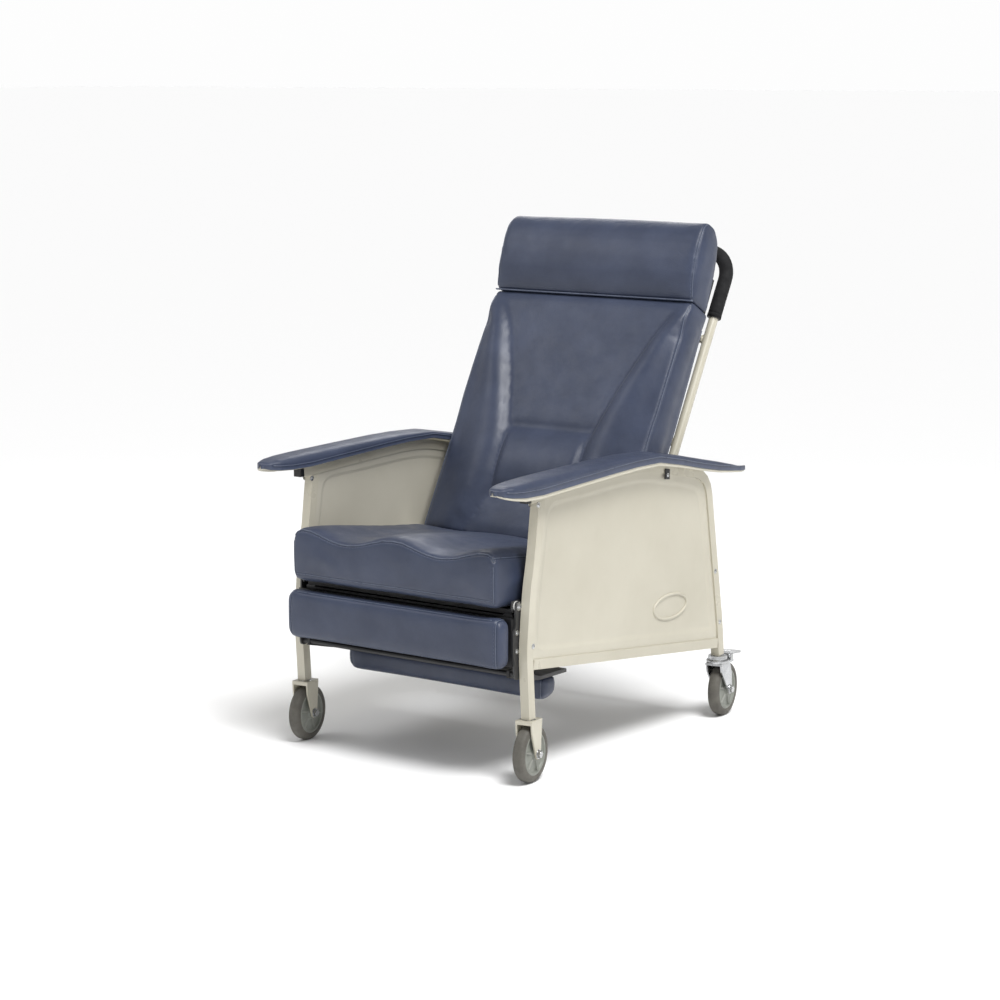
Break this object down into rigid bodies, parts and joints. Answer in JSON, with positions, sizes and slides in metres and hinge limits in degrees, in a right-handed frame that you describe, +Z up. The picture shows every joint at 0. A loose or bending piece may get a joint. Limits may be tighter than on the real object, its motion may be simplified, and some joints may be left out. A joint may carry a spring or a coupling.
{
  "type": "patient recliner chair",
  "caption": "Wheeled patient recliner with padded arms, moulded side panels, a reclining back with headrest and push bar, and a folding legrest and footrest on swivel casters.",
  "frame": {"origin": "centre of the chair's plan outline, on the floor under the wheels", "axes": "+Z up; the chair faces -Y; +X is the sitter's left side"},
  "size_m": [0.714, 1.031, 1.1661],
  "materials": {
    "frame_enamel": "cream semi-gloss enamel",
    "panel_plastic": "cream moulded plastic, fine grain",
    "vinyl": "slate-blue grained vinyl",
    "black_enamel": "black satin enamel",
    "black_plastic": "black moulded plastic",
    "foam_grip": "black foam rubber",
    "nylon": "natural white nylon",
    "zinc_plate": "bright zinc plating",
    "tyre_rubber": "warm grey non-marking tread",
    "hub_plastic": "grey moulded hub"
  },
  "bodies": {
    "side_frames": {"upper_side_tube_left": "frame_enamel", "upper_side_tube_right": "frame_enamel", "front_leg_left": "frame_enamel", "front_leg_right": "frame_enamel", "bottom_rail_left": "frame_enamel", "bottom_rail_right": "frame_enamel", "side_panel_left": "panel_plastic", "side_panel_right": "panel_plastic", "tray_socket_cap_left": "black_plastic", "tray_socket_cap_right": "black_plastic", "arm_board_left": "panel_plastic", "arm_board_right": "panel_plastic", "arm_pad_left": "vinyl", "arm_pad_right": "vinyl", "seat_track_left": "black_enamel", "seat_track_right": "black_enamel", "front_cross_tube": "frame_enamel", "rear_cross_tube": "frame_enamel"},
    "seat": {"seat_frame": "black_enamel", "seat_board": "black_plastic", "seat_cushion": "vinyl", "seat_roller_front_left": "nylon", "seat_roller_front_right": "nylon", "seat_roller_rear_left": "nylon", "seat_roller_rear_right": "nylon"},
    "back": {"back_frame": "frame_enamel", "push_grip": "foam_grip", "back_board": "black_plastic", "back_cushion": "vinyl", "headrest_cushion": "vinyl", "recline_plate_left": "black_enamel", "recline_plate_right": "black_enamel"},
    "legrest_carriage": {"legrest_carrier_left": "black_enamel", "legrest_carrier_right": "black_enamel", "legrest_spacer_left": "nylon", "legrest_spacer_right": "nylon"},
    "legrest": {"legrest_arm_left": "black_enamel", "legrest_arm_right": "black_enamel", "legrest_board": "black_plastic", "legrest_pad": "vinyl"},
    "footrest": {"footrest_board": "black_enamel", "footrest_pad": "vinyl"},
    "front_caster_left": {"front_caster_left_fork": "frame_enamel"},
    "front_wheel_left": {"front_caster_left_tyre": "tyre_rubber", "front_caster_left_hub": "hub_plastic"},
    "front_caster_right": {"front_caster_right_fork": "frame_enamel"},
    "front_wheel_right": {"front_caster_right_tyre": "tyre_rubber", "front_caster_right_hub": "hub_plastic"},
    "rear_caster_left": {"rear_caster_left_fork": "zinc_plate"},
    "rear_wheel_left": {"rear_caster_left_tyre": "tyre_rubber", "rear_caster_left_hub": "hub_plastic"},
    "brake_left": {"brake_pedal_left": "zinc_plate"},
    "rear_caster_right": {"rear_caster_right_fork": "zinc_plate"},
    "rear_wheel_right": {"rear_caster_right_tyre": "tyre_rubber", "rear_caster_right_hub": "hub_plastic"},
    "brake_right": {"brake_pedal_right": "zinc_plate"}
  },
  "joints": [
    {"name": "back_recline", "type": "hinge", "parent": "seat", "child": "back", "pos_m": [0, 0.012, 0.375], "axis": [-1, 0, 0], "range_deg": [0, 38]},
    {"name": "seat_slide", "type": "slide", "parent": "side_frames", "child": "seat", "axis": [0, -0.9945, 0.1044], "range_m": [0, 0.06]},
    {"name": "legrest_extend", "type": "slide", "parent": "seat", "child": "legrest_carriage", "axis": [0, -0.9945, 0.1044], "range_m": [0, 0.075]},
    {"name": "legrest_lift", "type": "hinge", "parent": "legrest_carriage", "child": "legrest", "pos_m": [0, -0.4, 0.386], "axis": [-1, 0, 0], "range_deg": [0, 80]},
    {"name": "footrest_flip", "type": "hinge", "parent": "legrest", "child": "footrest", "pos_m": [0, -0.404, 0.238], "axis": [-1, 0, 0], "range_deg": [0, 105]},
    {"name": "front_caster_left_swivel", "type": "hinge", "parent": "side_frames", "child": "front_caster_left", "pos_m": [0.316, -0.385, 0.12], "axis": [0, 0, 1], "continuous": true},
    {"name": "front_caster_left_spin", "type": "hinge", "parent": "front_caster_left", "child": "front_wheel_left", "pos_m": [0.31459, -0.37611, 0.0635], "axis": [0.9877, 0.1564, 0], "continuous": true},
    {"name": "front_caster_right_swivel", "type": "hinge", "parent": "side_frames", "child": "front_caster_right", "pos_m": [-0.316, -0.385, 0.12], "axis": [0, 0, 1], "continuous": true},
    {"name": "front_caster_right_spin", "type": "hinge", "parent": "front_caster_right", "child": "front_wheel_right", "pos_m": [-0.31741, -0.37611, 0.0635], "axis": [0.9877, 0.1564, 0], "continuous": true},
    {"name": "rear_caster_left_swivel", "type": "hinge", "parent": "side_frames", "child": "rear_caster_left", "pos_m": [0.316, 0.366, 0.12], "axis": [0, 0, 1], "continuous": true},
    {"name": "rear_caster_left_spin", "type": "hinge", "parent": "rear_caster_left", "child": "rear_wheel_left", "pos_m": [0.31115, 0.39662, 0.0635], "axis": [0.9877, 0.1564, 0], "continuous": true},
    {"name": "brake_pedal_left_press", "type": "hinge", "parent": "rear_caster_left", "child": "brake_left", "pos_m": [0.31037, 0.40156, 0.141], "axis": [-0.9877, -0.1564, 0], "range_deg": [0, 12], "stiffness_Nm_per_rad": 1.5},
    {"name": "rear_caster_right_swivel", "type": "hinge", "parent": "side_frames", "child": "rear_caster_right", "pos_m": [-0.316, 0.366, 0.12], "axis": [0, 0, 1], "continuous": true},
    {"name": "rear_caster_right_spin", "type": "hinge", "parent": "rear_caster_right", "child": "rear_wheel_right", "pos_m": [-0.32085, 0.39662, 0.0635], "axis": [0.9877, 0.1564, 0], "continuous": true},
    {"name": "brake_pedal_right_press", "type": "hinge", "parent": "rear_caster_right", "child": "brake_right", "pos_m": [-0.32163, 0.40156, 0.141], "axis": [-0.9877, -0.1564, 0], "range_deg": [0, 12], "stiffness_Nm_per_rad": 1.5}
  ],
  "couplings": [
    {"joint": "seat_slide", "follows": "back_recline", "m_per_rad": 0.0904},
    {"joint": "legrest_extend", "follows": "back_recline", "m_per_rad": 0.113},
    {"joint": "legrest_lift", "follows": "back_recline", "ratio": 2.105},
    {"joint": "footrest_flip", "follows": "back_recline", "ratio": 2.763}
  ]
}
